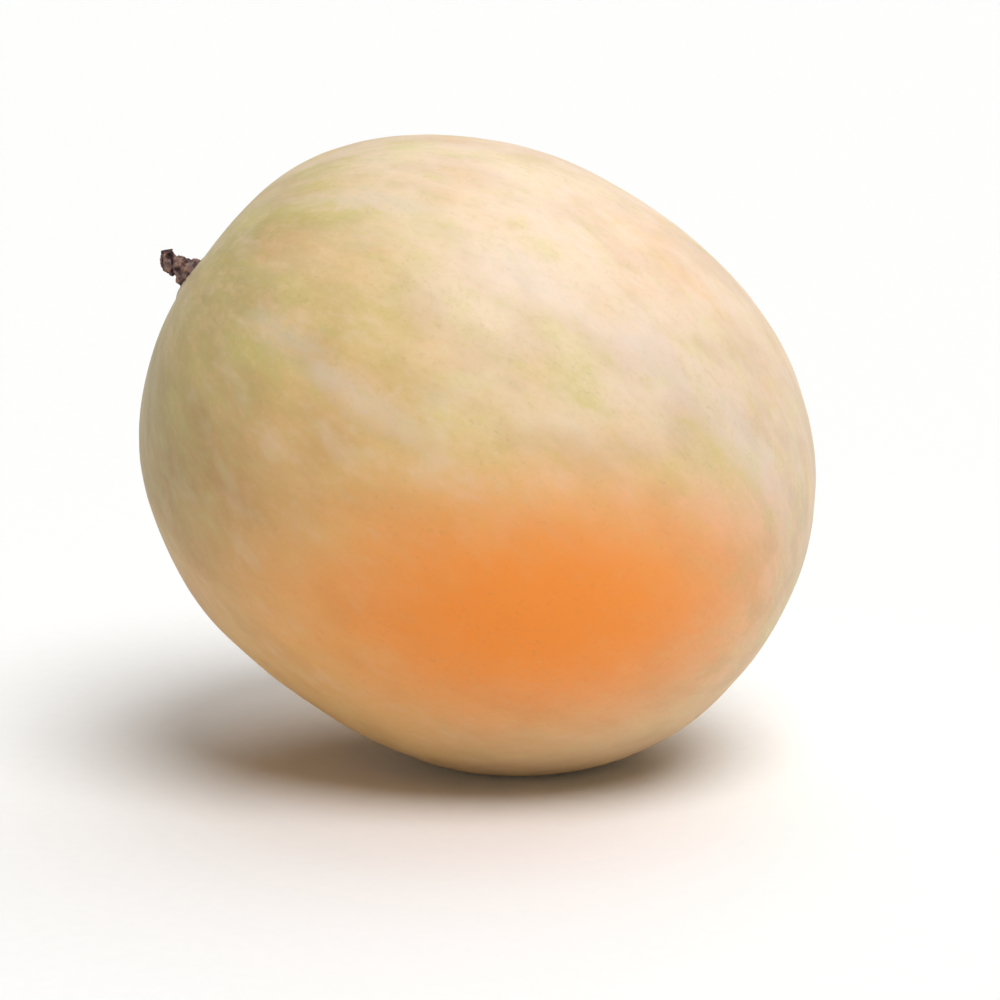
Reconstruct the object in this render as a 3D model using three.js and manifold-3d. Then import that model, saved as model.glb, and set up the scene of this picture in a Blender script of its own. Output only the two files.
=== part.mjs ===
// A whole cantaloupe melon of the smooth, pale-skinned kind, lying as it was set down: stem end lifted, on
// a small flat spot under its belly. Two pieces: the fruit, and the dried stub of stem seated in its end.
//
// Millimetres, +Z up. The origin is the centre of the resting spot. The fruit's own axis lies in the XZ
// plane, with the stem end towards -X and +Z and the blossom end towards +X.

import * as THREE from "three";
import { mergeVertices } from "three/addons/utils/BufferGeometryUtils.js";
import Module from "manifold-3d";

// ---------- driving dimensions ----------

const FRUIT_LENGTH = 175; // stem end to blossom end, along the fruit's axis, without the stem
const FRUIT_DIAMETER = 154.4; // widest place, across the axis
const FULLNESS = 2.187; // exponent of the side outline: 2 is an ellipse, more has fuller shoulders
const AXIS_RISE = 31.5; // degrees that the stem end is lifted above level
const BALANCE_MARGIN = 10; // least distance from the point below the fruit's middle to the spot's ends

const SUNK_DEPTH = 1; // the stem end is flatter than the plain outline by this much
const SUNK_RADIUS = 45; // and joins it at this distance from the axis
const COLLAR_HEIGHT = 0.7; // the skin rises by this much where it meets the stem
const COLLAR_WIDTH = 4; // from the stem's seat out to the plain skin
const BLOSSOM_SCAR_DIAMETER = 15; // the shallow dish at the blossom end
const BLOSSOM_SCAR_DEPTH = 0.9;

const STEM_LENGTH = 10; // from the floor of its seat to the rim of the dried tip
const STEM_BASE_DIAMETER = 9.2;
const STEM_NECK_DIAMETER = 6;
const STEM_TIP_DIAMETER = 7;
const STEM_NECK_AT = 0.45; // where the neck is narrowest, as a share of the length
const STEM_LEAN = 1.2; // how far the tip has bent away from the fruit's axis
const STEM_RIBS = 5; // ridges of the dried stem
const STEM_RIB_DEPTH = 0.12; // depth of the grooves between ridges, as a share of the radius
const STEM_TWIST = 50; // degrees that the ridges turn from base to tip
const STEM_TIP_DOME = 0.4; // the dried tip's rounded end stands this far above its rim
const STEM_TIP_FLAT = 0.6; // radius of that end's flat middle, as a share of the rim's

const SEAT_DEPTH = 1.2; // how deep the stem's base is set into the fruit
const SEAT_GAP = 0.3; // clearance between the stem and its seat, all round and below

const FRUIT_SEGMENTS = 60; // round the fruit
const FRUIT_ROWS = 34; // from the blossom scar to the collar
const PATCH_ROWS = 5; // across the blossom scar, and across the collar
const STEM_SEGMENTS = 25; // round the stem, five for each ridge
const STEM_ROWS = 14;

// ---------- sizes that follow ----------

const halfLength = FRUIT_LENGTH / 2;
const halfWidth = FRUIT_DIAMETER / 2;
const rise = THREE.MathUtils.degToRad(AXIS_RISE);
const seatRadius = STEM_BASE_DIAMETER / 2 + SEAT_GAP;
const collarRadius = seatRadius + COLLAR_WIDTH;
const scarRadius = BLOSSOM_SCAR_DIAMETER / 2;

// Turned and bent pieces are made along +Y, which this carries onto the fruit's axis.
const tilt = new THREE.Matrix4()
  .makeRotationX(Math.PI / 2)
  .multiply(new THREE.Matrix4().makeRotationZ(Math.PI / 2 - rise));

const smooth = (t) => THREE.MathUtils.smoothstep(t, 0, 1);

// ---------- the fruit's outline ----------

// Distance along the axis from the fruit's middle to the plain outline, at this radius.
function reachAt(radius) {
  const share = Math.max(0, 1 - Math.pow(radius / halfWidth, FULLNESS));
  return halfLength * Math.pow(share, 1 / FULLNESS);
}

// A point of the plain outline: [radius, distance along the axis]. The angle runs from -90 degrees at the
// blossom end to 90 at the stem end.
function outlineAt(angle) {
  const power = 2 / FULLNESS;
  const along = Math.sign(angle) * Math.pow(Math.abs(Math.sin(angle)), power);
  return [halfWidth * Math.pow(Math.cos(angle), power), halfLength * along];
}

// How far the stem end is sunk below the plain outline, at this radius.
const sunkAt = (radius) => SUNK_DEPTH * (1 - smooth(radius / SUNK_RADIUS));

// The angle at which the outline has this radius, on the stem side.
const angleAt = (radius) => Math.acos(Math.pow(radius / halfWidth, FULLNESS / 2));

// The half outline that is turned into the fruit, from the blossom pole to the middle of the stem's seat.
function fruitProfile() {
  const profile = [];
  for (let i = 0; i <= PATCH_ROWS; i++) {
    const radius = (scarRadius * i) / PATCH_ROWS;
    const dish = BLOSSOM_SCAR_DEPTH * (1 - smooth(radius / scarRadius));
    profile.push(new THREE.Vector2(radius, dish - reachAt(radius)));
  }
  const from = -angleAt(scarRadius);
  const to = angleAt(collarRadius);
  for (let i = 1; i < FRUIT_ROWS; i++) {
    const [radius, along] = outlineAt(from + ((to - from) * i) / FRUIT_ROWS);
    profile.push(new THREE.Vector2(radius, along > 0 ? along - sunkAt(radius) : along));
  }
  for (let i = 0; i <= PATCH_ROWS; i++) {
    const radius = collarRadius - (COLLAR_WIDTH * i) / PATCH_ROWS;
    const lift = COLLAR_HEIGHT * smooth(i / PATCH_ROWS);
    profile.push(new THREE.Vector2(radius, reachAt(radius) - sunkAt(radius) + lift));
  }
  profile.push(new THREE.Vector2(seatRadius, seatFloor));
  profile.push(new THREE.Vector2(0, seatFloor));
  return profile;
}

const collarTop = reachAt(seatRadius) - sunkAt(seatRadius) + COLLAR_HEIGHT;
const seatFloor = collarTop - SEAT_DEPTH;

// ---------- the resting spot ----------

// Where the lower side of the tilted outline is at this horizontal distance from the fruit's middle. The
// lower side runs from the stem pole, at -X, down and round to the blossom pole.
function undersideAt(x) {
  const place = (angle) => {
    const [radius, along] = outlineAt(angle);
    return [
      -along * Math.cos(rise) - radius * Math.sin(rise),
      along * Math.sin(rise) - radius * Math.cos(rise),
    ];
  };
  let low = -Math.PI / 2; // blossom pole, far +X
  let high = Math.PI / 4; // on the stem side, past any resting spot
  for (let step = 0; step < 60; step++) {
    const middle = (low + high) / 2;
    if (place(middle)[0] > x) low = middle;
    else high = middle;
  }
  return place(low)[1];
}

// The spot's height from the fruit's middle, where it reaches at least the margin both ways.
const spotHeight = Math.max(undersideAt(-BALANCE_MARGIN), undersideAt(BALANCE_MARGIN));

// ---------- solids ----------

const wasm = await Module();
wasm.setup();

// A closed three.js geometry as a manifold-3d solid.
function solidOf(geometry) {
  const bare = new THREE.BufferGeometry();
  bare.setAttribute("position", geometry.getAttribute("position"));
  if (geometry.index) bare.setIndex(geometry.index);
  const merged = mergeVertices(bare, 1e-4);
  return new wasm.Manifold(
    new wasm.Mesh({
      numProp: 3,
      vertProperties: new Float32Array(merged.attributes.position.array),
      triVerts: new Uint32Array(merged.index.array),
    }),
  );
}

// A manifold-3d solid as a three.js geometry with a flat normal on each face.
function geometryOf(solid) {
  const mesh = solid.getMesh();
  const indexed = new THREE.BufferGeometry();
  indexed.setAttribute("position", new THREE.BufferAttribute(mesh.vertProperties, mesh.numProp));
  indexed.setIndex(new THREE.BufferAttribute(mesh.triVerts, 1));
  const geometry = indexed.toNonIndexed();
  geometry.computeVertexNormals();
  return geometry;
}

// The fruit tilted about its middle, with everything below the resting spot taken away.
function makeFruit() {
  const turned = new THREE.LatheGeometry(fruitProfile(), FRUIT_SEGMENTS).applyMatrix4(tilt);
  const room = 2 * Math.max(FRUIT_LENGTH, FRUIT_DIAMETER);
  const ground = new THREE.BoxGeometry(room, room, room);
  ground.translate(0, 0, spotHeight - room / 2);
  return geometryOf(solidOf(turned).subtract(solidOf(ground)));
}

// The middle of the resting spot, from the fruit's middle.
function spotMiddle(fruit) {
  const places = fruit.getAttribute("position");
  let low = Infinity;
  let high = -Infinity;
  for (let i = 0; i < places.count; i++) {
    if (places.getZ(i) > spotHeight + 1e-3) continue;
    low = Math.min(low, places.getX(i));
    high = Math.max(high, places.getX(i));
  }
  return new THREE.Vector3((low + high) / 2, 0, spotHeight);
}

// ---------- the stem ----------

// The stem's radius before its ridges, at a share of the way from base to tip: a flared foot, a narrow
// neck and a swollen, dried tip.
function stemRadiusAt(share) {
  const foot = STEM_BASE_DIAMETER / 2;
  const neck = STEM_NECK_DIAMETER / 2;
  const tip = STEM_TIP_DIAMETER / 2;
  return share < STEM_NECK_AT
    ? THREE.MathUtils.lerp(foot, neck, smooth(share / STEM_NECK_AT))
    : THREE.MathUtils.lerp(neck, tip, smooth((share - STEM_NECK_AT) / (1 - STEM_NECK_AT)));
}

// A turned stub, standing on its base along +Y, given its ridges and its lean by moving its points.
function makeStem() {
  const length = STEM_LENGTH - SEAT_GAP;
  const seated = (SEAT_DEPTH - SEAT_GAP) / length; // share that stays straight, inside the seat
  const profile = [new THREE.Vector2(0, 0)];
  for (let i = 0; i <= STEM_ROWS; i++) {
    const share = i / STEM_ROWS;
    profile.push(new THREE.Vector2(stemRadiusAt(share), length * share));
  }
  profile.push(new THREE.Vector2(stemRadiusAt(1) * STEM_TIP_FLAT, length + STEM_TIP_DOME));
  profile.push(new THREE.Vector2(0, length + STEM_TIP_DOME));

  const stub = new THREE.LatheGeometry(profile, STEM_SEGMENTS);
  const places = stub.getAttribute("position");
  for (let i = 0; i < places.count; i++) {
    const x = places.getX(i);
    const y = places.getY(i);
    const z = places.getZ(i);
    const share = THREE.MathUtils.clamp(y / length, 0, 1);
    const turn = THREE.MathUtils.degToRad(STEM_TWIST) * share;
    const groove = 0.5 - 0.5 * Math.cos(STEM_RIBS * (Math.atan2(x, z) - turn));
    const scale = 1 - STEM_RIB_DEPTH * groove;
    const bend = smooth((share - seated) / (1 - seated));
    places.setXYZ(i, x * scale - STEM_LEAN * bend, y, z * scale);
  }
  stub.computeVertexNormals();
  return stub;
}

// ---------- the melon ----------

const melon = new THREE.Group();

const rindMaterial = new THREE.MeshStandardMaterial({ color: 0xe3cb98, roughness: 0.5, metalness: 0 });
const stemMaterial = new THREE.MeshStandardMaterial({ color: 0x7a5a4a, roughness: 0.9, metalness: 0 });

const fruitGeometry = makeFruit();
const middle = spotMiddle(fruitGeometry).negate(); // the fruit's middle, from the resting spot

const fruit = new THREE.Mesh(fruitGeometry, rindMaterial);
fruit.name = "fruit";
fruit.position.copy(middle);
melon.add(fruit);

// The stem's group stands at the fruit's middle with its +Y along the axis, out through the stem end.
const stemEnd = new THREE.Group();
stemEnd.position.copy(middle);
stemEnd.quaternion.setFromRotationMatrix(tilt);
const stem = new THREE.Mesh(makeStem(), stemMaterial);
stem.name = "stem";
stem.position.y = seatFloor + SEAT_GAP;
stemEnd.add(stem);
melon.add(stemEnd);

export default melon;
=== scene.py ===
"""A whole smooth-skinned cantaloupe melon with the dried stub of its stem, on a plain pale floor.

Everything is in metres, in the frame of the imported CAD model: +Z up, the origin at the middle of the
resting spot, and the fruit's own axis in the XZ plane with the stem end towards -X, lifted.

Places on the fruit are given as `along`, from -1 at the blossom end to 1 at the stem end, and `around`, in
degrees about the axis: 0 faces the front (-Y), 90 the top side, 180 the back and 270 the underside.
"""

import math
from types import SimpleNamespace

import bpy
import numpy as np
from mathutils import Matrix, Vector


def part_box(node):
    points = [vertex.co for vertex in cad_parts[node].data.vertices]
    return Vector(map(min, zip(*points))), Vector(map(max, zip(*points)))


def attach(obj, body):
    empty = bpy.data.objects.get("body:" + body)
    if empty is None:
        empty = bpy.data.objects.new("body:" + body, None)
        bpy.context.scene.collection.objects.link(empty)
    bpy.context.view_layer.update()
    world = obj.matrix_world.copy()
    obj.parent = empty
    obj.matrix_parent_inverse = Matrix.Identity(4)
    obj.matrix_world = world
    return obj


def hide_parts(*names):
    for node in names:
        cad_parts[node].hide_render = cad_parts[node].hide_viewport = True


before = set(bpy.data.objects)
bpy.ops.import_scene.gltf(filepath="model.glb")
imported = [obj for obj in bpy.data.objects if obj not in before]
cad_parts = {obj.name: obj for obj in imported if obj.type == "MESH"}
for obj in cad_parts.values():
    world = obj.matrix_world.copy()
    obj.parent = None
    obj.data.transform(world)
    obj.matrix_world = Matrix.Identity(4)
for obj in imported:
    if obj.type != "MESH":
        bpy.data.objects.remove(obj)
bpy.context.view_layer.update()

MM = 0.001

# ---------- the fruit's own frame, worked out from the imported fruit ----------

FULLNESS = 2.187  # exponent of the side outline: 2 is an ellipse, more has fuller shoulders
AXIS_RISE = math.radians(31.5)  # how far the stem end is lifted above level

AXIS = Vector((-math.cos(AXIS_RISE), 0, math.sin(AXIS_RISE)))  # towards the stem end
TOP_SIDE = Vector((math.sin(AXIS_RISE), 0, math.cos(AXIS_RISE)))
FRONT = Vector((0, -1, 0))
FRUIT_AXES = np.array([AXIS, FRONT, TOP_SIDE])


def reach(half_length, half_width, share_along, share_across):
    """How far the outline reaches in a direction, given as its shares along and across the axis."""
    dual = FULLNESS / (FULLNESS - 1)
    total = abs(half_length * share_along) ** dual + abs(half_width * share_across) ** dual
    return total ** (1 / dual)


def half_length_from(half_x, half_width):
    """The half length of a tilted fruit whose box reaches half_x from its middle."""
    dual = FULLNESS / (FULLNESS - 1)
    rest = half_x**dual - abs(half_width * AXIS.z) ** dual
    return rest ** (1 / dual) / abs(AXIS.x)


fruit_low, fruit_high = (Vector(corner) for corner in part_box("fruit"))
HALF_WIDTH = (fruit_high.y - fruit_low.y) / 2
HALF_LENGTH = half_length_from((fruit_high.x - fruit_low.x) / 2, HALF_WIDTH)
HALF_HEIGHT = reach(HALF_LENGTH, HALF_WIDTH, AXIS.z, AXIS.x)
MIDDLE = Vector(((fruit_low.x + fruit_high.x) / 2, 0, fruit_high.z - HALF_HEIGHT))

stem_low, stem_high = (Vector(corner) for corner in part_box("stem"))
FOOT_RADIUS = (stem_high.y - stem_low.y) / 2

# ---------- camera ----------

CAMERA_ELEVATION = math.radians(12)
CAMERA_AZIMUTH = math.asin(math.tan(CAMERA_ELEVATION) * math.tan(AXIS_RISE))  # square to the fruit's axis
LENS = 150  # mm, a long portrait lens
SENSOR = 36  # mm
VIEW_WIDTH = 0.2569  # of the picture, measured at the fruit's middle
AIM_RIGHT = 0.0056  # the picture's centre is this far right of the fruit's middle
AIM_DOWN = 0.0116  # and this far below it


def make_camera():
    back = Vector(
        (
            math.cos(CAMERA_ELEVATION) * math.sin(CAMERA_AZIMUTH),
            -math.cos(CAMERA_ELEVATION) * math.cos(CAMERA_AZIMUTH),
            math.sin(CAMERA_ELEVATION),
        )
    )
    right = Vector((0, 0, 1)).cross(back).normalized()
    up = back.cross(right)
    target = MIDDLE + right * AIM_RIGHT - up * AIM_DOWN
    data = bpy.data.cameras.new("camera")
    data.lens = LENS
    data.sensor_width = SENSOR
    camera = bpy.data.objects.new("camera", data)
    camera.location = target + back * (VIEW_WIDTH * LENS / SENSOR)
    camera.rotation_euler = back.to_track_quat("Z", "Y").to_euler()
    bpy.context.collection.objects.link(camera)
    bpy.context.scene.camera = camera


# ---------- node materials ----------


def srgb(red, green, blue):
    """A colour given as 0 to 255 display values, in the linear values that nodes take."""
    linear = []
    for value in (red, green, blue):
        share = value / 255
        linear.append(share / 12.92 if share <= 0.04045 else ((share + 0.055) / 1.055) ** 2.4)
    return (*linear, 1)


class Shader:
    """A material with short ways to add nodes. Every input may be a value or another node's output."""

    def __init__(self, name):
        self.material = bpy.data.materials.new(name)
        self.material.use_nodes = True
        self.tree = self.material.node_tree

    def feed(self, socket, value):
        if isinstance(value, bpy.types.NodeSocket):
            self.tree.links.new(value, socket)
        else:
            socket.default_value = value

    def node(self, kind, inputs, **settings):
        made = self.tree.nodes.new("ShaderNode" + kind)
        for name, value in settings.items():
            setattr(made, name, value)
        for key, value in inputs.items():
            self.feed(made.inputs[key], value)
        return made

    def place(self):
        return self.node("TexCoord", {}).outputs["Object"]

    def math(self, operation, first, second):
        return self.node("Math", {0: first, 1: second}, operation=operation).outputs[0]

    def vector(self, operation, first, second=(0, 0, 0)):
        made = self.node("VectorMath", {0: first, 1: second}, operation=operation)
        return made.outputs["Value" if operation in ("DOT_PRODUCT", "DISTANCE", "LENGTH") else "Vector"]

    def attribute(self, name):
        """A number that the mesh holds for each of its points."""
        return self.node("Attribute", {}, attribute_name=name).outputs["Fac"]

    def combine(self, x, y, z):
        return self.node("CombineXYZ", {"X": x, "Y": y, "Z": z}).outputs[0]

    def noise(self, place, size, detail=2.0, roughness=0.5, distortion=0.0):
        """Smooth noise about 0.5, whose patches are about `size` across."""
        inputs = {
            "Vector": place,
            "Scale": 1 / size,
            "Detail": detail,
            "Roughness": roughness,
            "Distortion": distortion,
        }
        return self.node("TexNoise", inputs).outputs["Fac"]

    def moved(self, place, far):
        """The place moved well away, so that another noise there is a different one."""
        return self.vector("ADD", place, (far, far, far))

    def ease(self, value, low, high, start=0.0, end=1.0):
        """Goes smoothly from start to end as the value goes from low to high."""
        inputs = {"Value": value, 1: low, 2: high, 3: start, 4: end}
        return self.node("MapRange", inputs, interpolation_type="SMOOTHSTEP").outputs[0]

    def mix(self, share, first, second, blend="MIX"):
        made = self.node("Mix", {0: share, 6: first, 7: second}, data_type="RGBA", blend_type=blend)
        return made.outputs[2]

    def bump(self, height, distance):
        return self.node("Bump", {"Height": height, "Distance": distance}).outputs[0]

    def surface(self, **inputs):
        """Sets the surface's own inputs: Base_Color=... feeds the socket called Base Color."""
        for name, value in inputs.items():
            self.feed(self.tree.nodes["Principled BSDF"].inputs[name.replace("_", " ")], value)


# ---------- meshes ----------


def add_piece(name, rings, ends, material, node, tones=()):
    """Makes a closed piece from its rings of points and its two end points, standing for a CAD node. Each of
    the tones is a name and a number for each point of the rings, which the material can use."""
    rows, columns, _ = rings.shape
    points = np.vstack([ends[0], rings.reshape(-1, 3), ends[1]])
    index = 1 + np.arange(rows * columns).reshape(rows, columns)
    after = np.roll(index, -1, axis=1)
    first = np.zeros(columns, dtype=int)
    last = np.full(columns, len(points) - 1)
    quads = np.stack([index[:-1], after[:-1], after[1:], index[1:]], axis=-1).reshape(-1, 4)
    caps = np.vstack(
        [
            np.stack([first, after[0], index[0]], axis=-1),
            np.stack([last, index[-1], after[-1]], axis=-1),
        ]
    )
    mesh = bpy.data.meshes.new(name)
    mesh.from_pydata(points.tolist(), [], quads.tolist() + caps.tolist())
    mesh.shade_smooth()
    mesh.materials.append(material)
    for tone, values in tones:
        with_ends = np.concatenate([[values[0].mean()], values.ravel(), [values[-1].mean()]])
        mesh.attributes.new(tone, "FLOAT", "POINT").data.foreach_set("value", with_ends)
    piece = bpy.data.objects.new(name, mesh)
    bpy.context.collection.objects.link(piece)
    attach(piece, "root")
    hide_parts(node)


def ease_between(value, low, high):
    """Goes smoothly from 0 to 1 as the value goes from low to high."""
    share = np.clip((value - low) / (high - low), 0, 1)
    return share * share * (3 - 2 * share)


def waves(places, size, count, seed):
    """Smooth bumps about `size` across and mostly between -1 and 1, the sum of `count` plane waves."""
    random = np.random.default_rng(seed)
    directions = random.normal(size=(count, 3))
    directions /= np.linalg.norm(directions, axis=1, keepdims=True)
    pitches = 2 * math.pi / size * random.uniform(0.7, 1.4, size=(count, 1))
    phases = random.uniform(0, 2 * math.pi, size=count)
    return np.cos(places @ (directions * pitches).T + phases).sum(axis=-1) * math.sqrt(2 / count)


def bumps(places, sizes):
    """The sum of waves of several sizes, each given as (height, size, count, seed)."""
    return sum(height * waves(places, size, count, seed) for height, size, count, seed in sizes)


def smooth_line(points, count):
    """This many points along a smooth curve through the given ones."""
    points = np.array(points)
    padded = np.vstack([2 * points[0] - points[1], points, 2 * points[-1] - points[-2]])
    at = np.linspace(0, len(points) - 1, count)
    span = np.minimum(at.astype(int), len(points) - 2)
    share = (at - span)[:, None]
    before, start, end, after = (padded[span + step] for step in range(4))
    return 0.5 * (
        2 * start
        + (end - before) * share
        + (2 * before - 5 * start + 4 * end - after) * share**2
        + (3 * start - before - 3 * end + after) * share**3
    )


def to_world(places):
    """Points given as (along, front, top) from the fruit's middle, in the row's frame."""
    return places @ FRUIT_AXES + np.array(MIDDLE)


# ---------- light and floor ----------

FLOOR_FLAT = 6  # radius of the floor's level part
FLOOR_RADIUS = 16  # out to its rim, which is raised so that low views see no edge
FLOOR_RIM_HEIGHT = 3
FLOOR_RINGS = 12
FLOOR_SIDES = 64
FLOOR_DROP = 0.1 * MM  # keeps the floor just clear of the resting spot
SKY_STRENGTH = 0.03


def make_sun(name, right_of_camera, elevation, spread, strength):
    """Makes a broad, even light. Its middle is this many degrees round to the camera's right and above
    level, and it fills a disc of sky `spread` degrees across."""
    bearing = CAMERA_AZIMUTH + math.radians(right_of_camera)
    height = math.radians(elevation)
    towards = Vector(
        (math.sin(bearing) * math.cos(height), -math.cos(bearing) * math.cos(height), math.sin(height))
    )
    data = bpy.data.lights.new(name, "SUN")
    data.angle = math.radians(spread)
    data.energy = strength
    light = bpy.data.objects.new(name, data)
    light.rotation_euler = towards.to_track_quat("Z", "Y").to_euler()
    bpy.context.collection.objects.link(light)


def make_studio():
    scene = bpy.context.scene
    scene.view_settings.view_transform = "Standard"
    scene.world = bpy.data.worlds.new("studio")
    scene.world.use_nodes = True
    background = scene.world.node_tree.nodes["Background"]
    background.inputs["Color"].default_value = (1, 1, 1, 1)
    background.inputs["Strength"].default_value = SKY_STRENGTH
    make_sun("key_light", right_of_camera=33, elevation=64, spread=40, strength=2.35)
    make_sun("back_light", right_of_camera=155, elevation=58, spread=60, strength=1.35)


def make_floor():
    radii = np.linspace(FLOOR_FLAT, FLOOR_RADIUS, FLOOR_RINGS)
    turns = np.linspace(0, 2 * math.pi, FLOOR_SIDES, endpoint=False)
    heights = FLOOR_RIM_HEIGHT * ease_between(radii, FLOOR_FLAT, FLOOR_RADIUS) - FLOOR_DROP
    points = [(r * math.cos(turn), r * math.sin(turn), z) for r, z in zip(radii, heights) for turn in turns]
    faces = [tuple(range(FLOOR_SIDES))]
    for ring in range(FLOOR_RINGS - 1):
        for side in range(FLOOR_SIDES):
            here = ring * FLOOR_SIDES + side
            after = ring * FLOOR_SIDES + (side + 1) % FLOOR_SIDES
            faces.append((here, here + FLOOR_SIDES, after + FLOOR_SIDES, after))
    mesh = bpy.data.meshes.new("floor")
    mesh.from_pydata(points, [], faces)
    mesh.shade_smooth()
    floor = bpy.data.objects.new("floor", mesh)
    bpy.context.collection.objects.link(floor)
    paper = Shader("floor_paper")
    grain = paper.noise(paper.place(), 4 * MM, detail=3)
    paper.surface(Base_Color=paper.mix(grain, srgb(244, 244, 243), srgb(248, 248, 247)), Roughness=0.8)
    mesh.materials.append(paper.material)


# ---------- rind ----------

# Marks that stand out on the seen side, each as (along, around, half its length as a share of the fruit's
# half length, half its width in degrees).
BLOOM_MARKS = (  # pale, lilac-grey wax
    (0.62, 52, 0.15, 3.5),
    (0.14, 48, 0.20, 5.0),
    (-0.25, 49, 0.26, 6.0),
    (-0.64, 50, 0.22, 6.0),
    (0.60, 14, 0.12, 3.0),
    (0.34, 11, 0.26, 3.5),
)
GREEN_MARKS = (
    (0.76, 45, 0.16, 4.0),
    (0.80, 58, 0.07, 4.0),
    (-0.60, 42, 0.16, 5.0),
    (-0.09, 37, 0.10, 6.0),
    (0.79, -8, 0.07, 4.5),
    (0.69, 6, 0.08, 3.5),
    (0.44, 27, 0.10, 5.0),
    (0.84, 68, 0.07, 7.0),
)
PEACH_MARKS = (
    (0.70, 30, 0.14, 6.0),
    (0.27, 26, 0.13, 4.0),
    (-0.15, 73, 0.26, 10.0),
)
MARKS = (  # each kind's places, how strongly it shows and its tone
    (GREEN_MARKS, 0.45, srgb(201, 192, 106)),
    (PEACH_MARKS, 0.35, srgb(242, 196, 150)),
    (BLOOM_MARKS, 0.35, srgb(230, 216, 211)),
)
MARK_RAGGED = (0.3, 0.18, 0.1)  # noise moves a mark's edge by up to half of this, on the skin's map

# Noise on the skin's map, from broad to fine. Each is (squeeze of the map along the axis, which draws the
# pattern out, size on the map, detail, roughness, distortion, how far the map is moved).
PATTERNS = {
    "patches": (0.8, 0.20, 3, 0.5, 0, 3),
    "clouds": (0.8, 0.15, 2, 0.45, 0, 9),
    "mottle": (0.65, 0.13, 3, 0.55, 0, 0),
    "blotches": (0.65, 0.055, 3, 0.6, 0, 5),
    "flecks": (0.65, 0.022, 3, 0.6, 0, 7),
    "fibre": (0.35, 0.011, 3, 0.6, 0.5, 0),
}
MOTTLING = (  # a pattern, how strongly it shows, and its tones where it is high and where it is low
    ("patches", 0.45, srgb(239, 199, 146), srgb(221, 208, 138)),
    ("mottle", 0.36, srgb(214, 197, 120), srgb(235, 219, 198)),
    ("blotches", 0.26, srgb(216, 205, 114), srgb(240, 211, 176)),
    ("flecks", 0.17, srgb(206, 172, 108), srgb(244, 226, 194)),
)

GROUND_SPOT_RADIUS = 40 * MM  # skin that lay on the soil, round the resting spot
BLUSH_AND_REFLECTION_RIGHT = 23 * MM  # from the fruit's middle to the middle of the orange patch low on the front, partly a ripe blush and partly painted orange light reflected from orange flesh in front of the fruit
BLUSH_AND_REFLECTION_FORWARD = 0.8 * HALF_WIDTH
BLUSH_AND_REFLECTION_HEIGHT = 56 * MM  # of that middle, above the resting spot
BLUSH_AND_REFLECTION_SIZE = (67 * MM, 60 * MM, 37 * MM)  # half its extent along X, Y and Z
WAVY = (25 * MM, 25 * MM, 8 * MM)  # noise moves the edges of both by up to half of this

CORK_RAGGED = 0.7 * MM  # how far noise moves the cork's edge
CORK_EDGE = 0.5 * MM  # half the width over which it fades
STREWN_WIDTH = 7 * MM  # crumbs of cork lie out to here from that edge
HALO_WIDTH = 11 * MM  # and the skin is paler out to here
SEAT_TONE_EDGE = 0.3 * MM  # width over which the dark tone in the stem's seat fades


def mark_cover(rind, skin_map, places):
    """1 on the marks and 0 away from them. The skin's map is (along, front share, top share)."""
    covered = 0.0
    for along, around, length, width in places:
        angle = math.radians(around)
        over = (1 / length, 1 / math.radians(width), 1 / math.radians(width))
        middle = tuple(part * scale for part, scale in zip((along, math.cos(angle), math.sin(angle)), over))
        away = rind.vector("DISTANCE", rind.vector("MULTIPLY", skin_map, over), middle)
        covered = rind.math("MAXIMUM", covered, rind.ease(away, 1.6, 0.1))
    return covered


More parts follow.
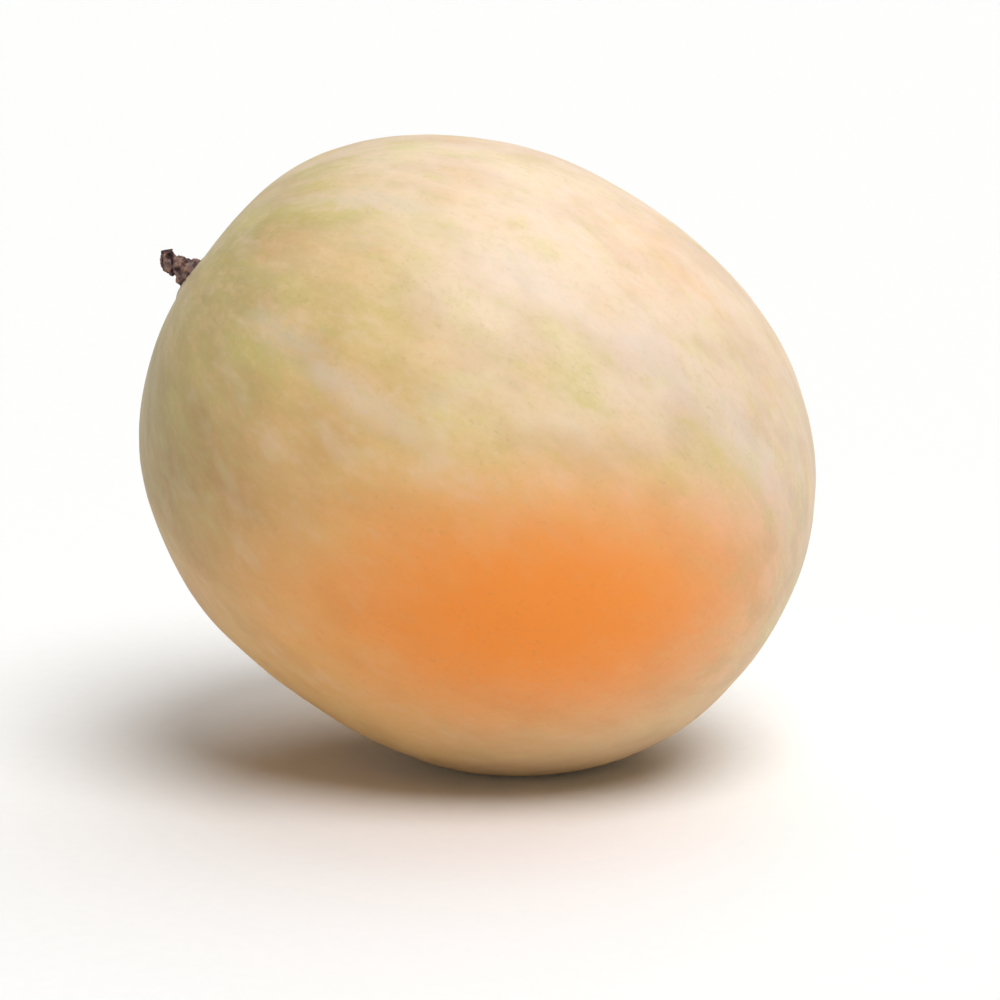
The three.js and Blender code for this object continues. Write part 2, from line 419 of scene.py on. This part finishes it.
def skin_nodes(rind):
    """Where each point of the skin is, and the patterns on it. All the tones below are made from these."""
    skin = SimpleNamespace()
    skin.place = rind.place()
    skin.from_middle = rind.vector("SUBTRACT", skin.place, tuple(MIDDLE))
    front = rind.vector("DOT_PRODUCT", skin.from_middle, tuple(FRONT))
    top = rind.vector("DOT_PRODUCT", skin.from_middle, tuple(TOP_SIDE))
    skin.along = rind.math("DIVIDE", rind.vector("DOT_PRODUCT", skin.from_middle, tuple(AXIS)), HALF_LENGTH)
    skin.off_axis = rind.vector("LENGTH", rind.combine(0.0, front, top))
    outward = rind.vector("NORMALIZE", rind.combine(0.0, front, top))
    skin.map = rind.vector("ADD", outward, rind.combine(skin.along, 0.0, 0.0))

    # The patterns' map is widened towards the ends, so that their patches don't crowd into hairs there.
    widened = rind.math("POWER", rind.math("DIVIDE", skin.off_axis, HALF_WIDTH), 0.5)
    across = rind.vector("MULTIPLY", outward, rind.combine(widened, widened, widened))
    even_map = rind.vector("ADD", across, rind.combine(skin.along, 0.0, 0.0))
    for name, (squeeze, size, detail, roughness, distortion, far) in PATTERNS.items():
        drawn_out = rind.vector("MULTIPLY", even_map, (squeeze, 1, 1))
        setattr(skin, name, rind.noise(rind.moved(drawn_out, far), size, detail, roughness, distortion))
    patterns = rind.combine(skin.mottle, skin.blotches, skin.flecks)
    skin.shift = rind.vector("SUBTRACT", patterns, (0.5, 0.5, 0.5))

    skin.slow = rind.noise(skin.from_middle, 60 * MM)
    skin.pores = rind.noise(skin.from_middle, 3.2 * MM)
    skin.grain = rind.noise(skin.from_middle, 0.6 * MM, roughness=0.6)
    skin.crumbs = rind.noise(skin.from_middle, 1.1 * MM, roughness=0.6)
    skin.specks = rind.noise(rind.moved(skin.from_middle, 2), 1.4 * MM)

    # 1 on the upper side and -1 on the underside. At the two ends, where those sides meet, it is in between.
    skin.upward = rind.math("MULTIPLY", rind.vector("DOT_PRODUCT", outward, (0, 0, 1)), widened)

    # Short dark fibres, thick on some patches and thin on others.
    skin.thick = rind.ease(skin.mottle, 0.35, 0.65, 0.3, 1)
    skin.dashes = rind.math("MULTIPLY", rind.ease(skin.fibre, 0.6, 0.78), skin.thick)

    # How far each point is outside the corky skin, which is about the stem's seat and on the blossom scar.
    ragged = rind.ease(skin.crumbs, 0.3, 0.7, -CORK_RAGGED, CORK_RAGGED)
    skin.at_stem = rind.math("GREATER_THAN", skin.along, 0.0)
    more = rind.math("MULTIPLY", skin.at_stem, CORK_RADIUS - SCAR_RADIUS)
    cork_radius = rind.math("ADD", SCAR_RADIUS, more)
    skin.from_cork = rind.math("SUBTRACT", rind.math("ADD", skin.off_axis, ragged), cork_radius)
    skin.cork = rind.ease(skin.from_cork, CORK_EDGE, -CORK_EDGE)
    return skin


def ground_tone(rind, skin):
    """Changes slowly from the underside over the front to the top. Towards the stem end it is greener and
    darker, partly the skin's own tone and partly painted shade, and its underside there is darkened with
    painted shade.
    """
    wander = rind.math("ADD", skin.upward, rind.ease(skin.slow, 0.3, 0.7, -0.15, 0.15))
    colour = rind.mix(rind.ease(wander, -0.5, 0.55), srgb(226, 176, 108), srgb(229, 200, 141))
    colour = rind.mix(rind.ease(wander, 0.2, 0.95), colour, srgb(243, 217, 192))
    colour = rind.mix(rind.ease(skin.along, 0.1, -0.95, 0, 0.6), colour, srgb(208, 182, 150))

    # Painted shade: darker on the underside towards the stem end.
    below = rind.math("MULTIPLY", rind.ease(skin.upward, 0.2, -0.5), rind.ease(skin.along, 0.1, 0.85))
    colour = rind.mix(below, colour, srgb(200, 198, 184), "MULTIPLY")
    # Greener skin towards the stem end, away from the top, also darker there as painted shade.
    streaked = rind.math("ADD", skin.along, rind.ease(skin.blotches, 0.3, 0.7, -0.1, 0.1))
    off_top = rind.ease(skin.upward, 0.75, 0.4, 0.3, 0.65)
    green_and_painted_shade_near_stem = rind.math("MULTIPLY", rind.ease(streaked, 0.4, 0.95), off_top)
    return rind.mix(green_and_painted_shade_near_stem, colour, srgb(184, 175, 118))


def with_mottling(rind, skin, colour):
    """Mottled from broad patches to small flecks, and more faintly on the underside."""
    showing = rind.ease(skin.upward, -0.4, 0.4, 0.4, 1)
    for name, share, high, low in MOTTLING:
        for peak, tone in ((0.74, high), (0.26, low)):
            cover = rind.math("MULTIPLY", rind.ease(getattr(skin, name), 0.5, peak, 0, share), showing)
            colour = rind.mix(cover, colour, tone)
    return rind.mix(rind.ease(skin.clouds, 0.42, 0.68, 0, 0.36), colour, srgb(228, 218, 208), "MULTIPLY")


def with_marks(rind, skin, colour):
    """Marked as on the seen side. The noise breaks up the marks' edges and insides."""
    ragged = rind.vector("ADD", skin.map, rind.vector("MULTIPLY", skin.shift, MARK_RAGGED))
    patchy = rind.ease(skin.blotches, 0.25, 0.6, 0.5, 1)
    broken = rind.math("MULTIPLY", patchy, rind.ease(skin.flecks, 0.3, 0.6, 0.7, 1))
    for places, share, tone in MARKS:
        cover = rind.math("MULTIPLY", mark_cover(rind, ragged, places), broken)
        colour = rind.mix(rind.math("MULTIPLY", cover, share), colour, tone)
    return colour


def with_blush_and_reflection(rind, skin, colour):
    """Orange low on the front, partly a ripe blush and partly painted orange light reflected from orange
    flesh in front of the fruit, and paler where it lay on the ground.
    """
    over = tuple(1 / size for size in BLUSH_AND_REFLECTION_SIZE)
    blush_and_reflection_middle = (MIDDLE.x + BLUSH_AND_REFLECTION_RIGHT, -BLUSH_AND_REFLECTION_FORWARD, BLUSH_AND_REFLECTION_HEIGHT)
    scaled_middle = tuple(part * scale for part, scale in zip(blush_and_reflection_middle, over))
    wavy = rind.vector("ADD", skin.place, rind.vector("MULTIPLY", skin.shift, WAVY))
    from_blush_and_reflection = rind.vector("DISTANCE", rind.vector("MULTIPLY", wavy, over), scaled_middle)
    # The orange patch: partly a ripe blush, partly painted reflected orange light.
    colour = rind.mix(rind.ease(from_blush_and_reflection, 1.3, 0.2, 0, 0.97), colour, srgb(253, 144, 30))
    from_spot = rind.vector("DISTANCE", wavy, (0, 0, 0))
    lain_on = rind.ease(from_spot, GROUND_SPOT_RADIUS, GROUND_SPOT_RADIUS / 2, 0, 0.7)
    return rind.mix(lain_on, colour, srgb(238, 198, 122))


def with_specks(rind, skin, colour):
    """Drawn over with the dark fibres, fine specks and a finer grain."""
    colour = rind.mix(rind.math("MULTIPLY", skin.dashes, 0.28), colour, srgb(168, 134, 84))
    speckled = rind.math("MULTIPLY", rind.ease(skin.specks, 0.56, 0.74, 0, 0.1), skin.thick)
    colour = rind.mix(speckled, colour, srgb(160, 116, 64))
    return rind.mix(rind.ease(skin.grain, 0.5, 0.8, 0, 0.08), colour, srgb(200, 172, 118))


def with_cork(rind, skin, colour):
    """Corky at both ends, with a pale halo and strewn crumbs further out, and dark in the stem's seat."""
    colour = rind.mix(rind.ease(skin.from_cork, HALO_WIDTH, 0, 0, 0.45), colour, srgb(203, 191, 160))
    near = rind.ease(skin.from_cork, STREWN_WIDTH, 0, 0, 0.6)
    strewn = rind.math("MULTIPLY", rind.ease(skin.crumbs, 0.54, 0.66), near)
    colour = rind.mix(strewn, colour, srgb(182, 150, 112))
    cork_tone = rind.mix(rind.ease(skin.crumbs, 0.35, 0.65), srgb(142, 112, 84), srgb(188, 158, 122))
    colour = rind.mix(rind.math("MULTIPLY", skin.cork, 0.9), colour, cork_tone)
    in_seat = rind.ease(skin.off_axis, SEAT_RADIUS + SEAT_TONE_EDGE, SEAT_RADIUS)
    return rind.mix(rind.math("MULTIPLY", skin.at_stem, in_seat), colour, srgb(84, 60, 46))


def make_rind():
    rind = Shader("rind")
    skin = skin_nodes(rind)
    colour = ground_tone(rind, skin)
    for layer in (with_mottling, with_marks, with_blush_and_reflection, with_specks, with_cork):
        colour = layer(rind, skin, colour)
    height = rind.math("ADD", rind.math("MULTIPLY", skin.grain, 0.25), skin.pores)
    height = rind.math("SUBTRACT", height, rind.math("MULTIPLY", skin.dashes, 0.25))
    satin = rind.ease(skin.mottle, 0.3, 0.7, 0.58, 0.48)
    rind.surface(
        Base_Color=colour,
        Roughness=rind.math("ADD", satin, rind.math("MULTIPLY", skin.cork, 0.3)),
        Normal=rind.bump(height, 0.045 * MM),
        Sheen_Weight=0.05,
        Sheen_Roughness=0.5,
        Sheen_Tint=(1, 0.93, 0.92, 1),
        Subsurface_Weight=0.12,
        Subsurface_Radius=(4, 2.2, 1),
        Subsurface_Scale=MM,
    )
    return rind.material


# ---------- the fruit ----------

FRUIT_COLUMNS = 340
BLOSSOM_ROWS = 30
BODY_ROWS = 190
SHOULDER_ROWS = 32

SUNK_DEPTH = 1 * MM  # how much flatter than the plain outline the stem end is
SUNK_RADIUS = 45 * MM  # where it joins that outline
SUNK_TILT = 0.6 * MM  # deeper by this much on the top side, and shallower below
SHOULDER_RADIUS = 17 * MM  # the finely modelled zone about the stem
SEAT_RADIUS = FOOT_RADIUS + 0.45 * MM
SEAT_DEPTH = 1.2 * MM
SEAT_ROWS = 8
COLLAR_HEIGHT = 0.7 * MM
COLLAR_WIDTH = 4 * MM
COLLAR_EDGE = 0.12 * MM  # how far its inner edge is rounded down
COLLAR_EDGE_WIDTH = 0.5 * MM
WRINKLES = 17  # round the collar
WRINKLE_HEIGHT = 0.5 * MM
CORK_RADIUS = SEAT_RADIUS + 1.5 * MM  # of the corky skin about the seat

BLOSSOM_RADIUS = 12 * MM  # the finely modelled zone about the dish
DISH_RADIUS = 7.5 * MM  # the shallow dish at the blossom end
DISH_DEPTH = 0.9 * MM
SCAR_RADIUS = 3.3 * MM  # the corky scar in it
SCAR_HEIGHT = 0.45 * MM
SCAR_EDGE = (SCAR_RADIUS - 0.7 * MM, SCAR_RADIUS + 0.5 * MM)  # radii over which it falls to the dish
SCAR_HOLLOW = 0.27 * MM  # lower in its middle by this much
SCAR_CRACKS = 7
CRACK_DEPTH = 0.25 * MM
CRACKS_START = (0.8 * MM, 2.4 * MM)  # radii over which the cracks come in
CRACKS_END = (4 * MM, 6.5 * MM)  # and those over which they die away

LUMPS = (  # of the skin, each as (height, size, how many waves, seed)
    (0.2 * MM, 70 * MM, 12, 1),
    (0.09 * MM, 28 * MM, 20, 2),
    (0.02 * MM, 9 * MM, 30, 3),
)
SMOOTH_END = 6 * MM  # the lumps die away over this length before the stem, which has to fit its seat

DENTS = (  # on the back, each as (along, around, radius, depth)
    (0.30, 196, 16 * MM, 0.5 * MM),
    (-0.42, 238, 12 * MM, 0.4 * MM),
    (-0.70, 128, 9 * MM, 0.3 * MM),
)
SPOT_EDGE = 1.2 * MM  # height over which the belly curves into the resting spot


def reach_at(radius):
    """Distance along the axis from the middle to the plain outline, where it has this radius."""
    return HALF_LENGTH * (1 - (radius / HALF_WIDTH) ** FULLNESS) ** (1 / FULLNESS)


def angle_at(radius):
    return math.acos((radius / HALF_WIDTH) ** (FULLNESS / 2))


def fruit_profile():
    """The plain outline as a row of radii and a row of places along the axis, from near the blossom pole to
    the stem's seat."""
    power = 2 / FULLNESS
    blossom = np.linspace(0, BLOSSOM_RADIUS, BLOSSOM_ROWS + 1)[1:]
    angles = np.linspace(-angle_at(BLOSSOM_RADIUS), angle_at(SHOULDER_RADIUS), BODY_ROWS + 2)[1:-1]
    shoulder = np.linspace(SHOULDER_RADIUS, SEAT_RADIUS, SHOULDER_ROWS)
    radius = np.concatenate([blossom, HALF_WIDTH * np.cos(angles) ** power, shoulder])
    body = HALF_LENGTH * np.sign(angles) * np.abs(np.sin(angles)) ** power
    along = np.concatenate([-reach_at(blossom), body, reach_at(shoulder)])
    return radius, along


def outward_from(skin):
    """The outline's outward directions at points given as (along, front, top)."""
    along = skin[..., 0] / HALF_LENGTH
    across = np.linalg.norm(skin[..., 1:], axis=-1) / HALF_WIDTH
    steep = np.sign(along) * np.abs(along) ** (FULLNESS - 1) / HALF_LENGTH
    wide = across ** (FULLNESS - 2) / HALF_WIDTH**2
    out = np.stack([steep, wide * skin[..., 1], wide * skin[..., 2]], axis=-1)
    return out / np.linalg.norm(out, axis=-1, keepdims=True)


def skin_relief(skin):
    """How far the grown skin stands out from the plain outline: slow lumps, finer ones and a few dents."""
    relief = bumps(skin, LUMPS)
    for along, around, radius, depth in DENTS:
        across = HALF_WIDTH * (1 - abs(along) ** FULLNESS) ** (1 / FULLNESS)
        angle = math.radians(around)
        middle = np.array([along * HALF_LENGTH, across * math.cos(angle), across * math.sin(angle)])
        away = np.linalg.norm(skin - middle, axis=-1)
        relief -= depth * (1 - ease_between(away, 0, radius))
    return relief


def stem_end_rise(radius, turn):
    """How far the skin about the stem stands beyond the plain outline: sunk, with a wrinkled collar."""
    sunk = (SUNK_DEPTH + SUNK_TILT * np.sin(turn)) * (1 - ease_between(radius, 0, SUNK_RADIUS))
    near = 1 - ease_between(radius, SEAT_RADIUS, SEAT_RADIUS + COLLAR_WIDTH)
    wander = 0.5 * np.sin(3 * turn + 1) + 0.35 * np.sin(7 * turn)
    wrinkles = np.cos(WRINKLES * turn + 2 * wander) * near * (1 - near)
    edge = 1 - ease_between(radius, SEAT_RADIUS, SEAT_RADIUS + COLLAR_EDGE_WIDTH)
    return COLLAR_HEIGHT * near + WRINKLE_HEIGHT * wrinkles - COLLAR_EDGE * edge - sunk


def blossom_end_rise(radius, turn):
    """How far the skin at the blossom end stands beyond the plain outline: a dish with a cracked scar."""
    dish = DISH_DEPTH * (1 - ease_between(radius, 0, DISH_RADIUS))
    plate = SCAR_HEIGHT * (1 - ease_between(radius, *SCAR_EDGE))
    hollow = SCAR_HOLLOW * (1 - ease_between(radius, 0, SCAR_RADIUS))
    crack = np.maximum(0, np.cos(SCAR_CRACKS * turn + np.sin(2 * turn + 1))) ** 6
    cracked = ease_between(radius, *CRACKS_START) * (1 - ease_between(radius, *CRACKS_END))
    return plate - dish - hollow - CRACK_DEPTH * crack * cracked


def make_fruit():
    radius, along = fruit_profile()
    around = np.linspace(0, 2 * math.pi, FRUIT_COLUMNS, endpoint=False)
    radius, turn = np.meshgrid(radius, around, indexing="ij")
    along = np.repeat(along[:, None], FRUIT_COLUMNS, axis=1)
    skin = np.stack([along, radius * np.cos(turn), radius * np.sin(turn)], axis=-1)
    relief = skin_relief(skin)
    relief *= ease_between(HALF_LENGTH - along, 0, SMOOTH_END)
    shaped = skin + outward_from(skin) * relief[..., None]
    shaped[..., 0] += np.where(along > 0, stem_end_rise(radius, turn), -blossom_end_rise(radius, turn))

    # The seat's wall goes almost straight in from the collar's inner edge.
    floor_level = HALF_LENGTH - SUNK_DEPTH + COLLAR_HEIGHT - SEAT_DEPTH
    down = np.linspace(0, 1, SEAT_ROWS + 1)[1:, None, None]
    rim = shaped[-1]
    floor = rim * (1, 0.98, 0.98)
    floor[:, 0] = floor_level
    rings = to_world(np.concatenate([shaped, rim + (floor - rim) * down]))
    blossom_pole = -HALF_LENGTH - blossom_end_rise(0, 0) - relief[0].mean()
    ends = to_world(np.array([[blossom_pole, 0, 0], [floor_level, 0, 0]]))
    rings[..., 2] = rest_on_floor(rings[..., 2])
    add_piece("melon_fruit", rings, ends, make_rind(), "fruit")


def rest_on_floor(height):
    """Presses what is below the floor up to it, with a soft edge."""
    soft = (height + SPOT_EDGE) ** 2 / (4 * SPOT_EDGE)
    return np.where(height < -SPOT_EDGE, 0, np.where(height > SPOT_EDGE, height, soft))


# ---------- the stem ----------

# The dried stem's middle line from its foot to its cut end, each point as (along, aside, radius) in
# millimetres: along the fruit's axis from the end of its plain outline, and aside towards the top side.
STEM_LINE = (
    (-1.2, 0.0, 4.2),
    (-0.35, -0.1, 4.2),
    (0.4, -0.3, 4.0),
    (1.2, -0.3, 3.6),
    (2.2, -0.15, 3.2),
    (3.2, -0.3, 2.95),
    (4.2, -0.7, 2.55),
    (5.1, -1.0, 2.25),
    (5.9, -0.7, 2.1),
    (6.65, 0.05, 1.95),
    (7.4, 0.95, 1.8),
    (8.1, 1.85, 1.55),
)
STEM_ROWS = 150
STEM_COLUMNS = 160
CUT_ROWS = 14
CUT_HOLLOW = 0.3 * MM  # how far the cut end has shrunk in

STEM_RIDGES = 5
STEM_TWIST = math.radians(70)
RIDGE_HEIGHT = 0.17 * MM
CREASE_ALONG = 3 * MM  # where the fold at the neck starts, on the stem's lower side
CREASE_ASIDE = -2.95 * MM
CREASE_SLOPE = 0.7  # and how fast it climbs towards the top side
CREASE_DEPTH = 0.6 * MM
CREASE_WIDTH = 0.4 * MM
WAVER_SIZE = 4 * MM  # of the waves that keep the ridges from running straight
GNARLS = (  # each as (height, size, how many waves, seed)
    (0.14 * MM, 2.4 * MM, 24, 12),
    (0.09 * MM, 1.1 * MM, 36, 13),
    (0.035 * MM, 0.5 * MM, 48, 14),
)
CUT_BUMPS = ((0.08 * MM, 0.7 * MM, 30, 15),)
RAISED_SPAN = 0.9 * MM  # from the deepest hollows to the highest ridges


def make_stem():
    line = smooth_line(STEM_LINE, STEM_ROWS) * MM
    centre = np.stack([HALF_LENGTH + line[:, 0], np.zeros(STEM_ROWS), line[:, 1]], axis=-1)
    heading = np.gradient(centre, axis=0)
    heading /= np.linalg.norm(heading, axis=1, keepdims=True)
    front = np.array([0, 1, 0])
    side = np.cross(heading, front)
    turn = np.linspace(0, 2 * math.pi, STEM_COLUMNS, endpoint=False)[None, :, None]
    out = front * np.cos(turn) + side[:, None] * np.sin(turn)
    radius = line[:, 2, None]
    plain = centre[:, None] + out * radius[..., None]

    # Twisted ridges, gnarled bumps of three sizes, and the fold at the neck.
    share = np.linspace(0, 1, STEM_ROWS)[:, None]
    free = ease_between(share, -0.08, 0.2)  # less at the foot, which stays clear of its seat
    waver = waves(plain, WAVER_SIZE, 10, seed=11)
    relief = RIDGE_HEIGHT * np.cos(STEM_RIDGES * (turn[..., 0] - STEM_TWIST * share) + waver)
    relief += bumps(plain, GNARLS)
    climb = CREASE_SLOPE * (plain[..., 2] - CREASE_ASIDE)
    past_fold = (plain[..., 0] - HALF_LENGTH - CREASE_ALONG - climb) / CREASE_WIDTH
    relief -= CREASE_DEPTH * np.exp(-(past_fold**2))
    body = plain + out * (relief * free)[..., None]

    # The cut end: smaller and smaller rings, hollow and rough.
    inward = np.linspace(1, 0, CUT_ROWS + 1)[1:-1, None, None]
    end = centre[-1] + (body[-1] - centre[-1]) * inward
    rough = bumps(end, CUT_BUMPS) * ease_between(1 - inward[..., 0], 0, 0.3)
    end = end - heading[-1] * (CUT_HOLLOW * ease_between(1 - inward, 0.1, 0.8) + rough[..., None])

    rings = to_world(np.concatenate([body, end]))
    ends = to_world(np.array([centre[0], end[-1].mean(axis=0)]))

    # What the material needs to know. `raised` goes from 0 in the hollows to 1 on the ridges, and is low on
    # the cut end. `cut` is 0 on the body, and from about 0.7 at the cut end's edge to 1 in its middle.
    raised = np.concatenate([0.5 + relief * free / RAISED_SPAN, np.full(end.shape[:2], 0.2)])
    cut = np.concatenate([np.zeros(body.shape[:2]), np.broadcast_to(1 - 0.3 * inward[..., 0], end.shape[:2])])
    tones = (("raised", raised), ("cut", cut))
    add_piece("melon_stem", rings, ends, make_dried_stem(), "stem", tones)


def make_dried_stem():
    stem = Shader("dried_stem")
    place = stem.place()
    along = stem.vector("DOT_PRODUCT", place, tuple(AXIS))
    drawn_out = stem.vector("MULTIPLY", tuple(AXIS * 0.8), stem.combine(along, along, along))
    fibre_map = stem.vector("SUBTRACT", place, drawn_out)
    fibres = stem.noise(fibre_map, 0.35 * MM, detail=3, roughness=0.6)
    patches = stem.noise(place, 1.6 * MM, detail=3, roughness=0.6)
    grain = stem.noise(stem.moved(place, 1), 0.25 * MM, detail=2, roughness=0.6)
    raised = stem.math("ADD", stem.attribute("raised"), stem.ease(fibres, 0.3, 0.7, -0.12, 0.12))

    # Darker in the hollows and in the crease at the neck: painted shade.
    colour = stem.mix(stem.ease(raised, 0.2, 0.62), srgb(62, 42, 42), srgb(116, 90, 84))
    colour = stem.mix(stem.ease(patches, 0.5, 0.65, 0, 0.6), colour, srgb(134, 114, 112))
    # Tan on the ridges: partly the dried skin's own tone, partly a painted highlight.
    tan = stem.math("MULTIPLY", stem.ease(raised, 0.52, 0.9), stem.ease(patches, 0.6, 0.4, 0.15, 0.8))
    colour = stem.mix(tan, colour, srgb(176, 138, 116))
    end_colour = stem.mix(stem.ease(fibres, 0.35, 0.65), srgb(44, 32, 32), srgb(96, 76, 68))
    colour = stem.mix(stem.attribute("cut"), colour, end_colour)

    height = stem.math("ADD", fibres, stem.math("MULTIPLY", grain, 0.5))
    stem.surface(
        Base_Color=colour,
        Roughness=stem.ease(raised, 0.2, 0.8, 0.92, 0.74),
        Specular_IOR_Level=0.3,
        Normal=stem.bump(height, 0.12 * MM),
    )
    return stem.material


make_camera()
make_studio()
make_floor()
make_fruit()
make_stem()
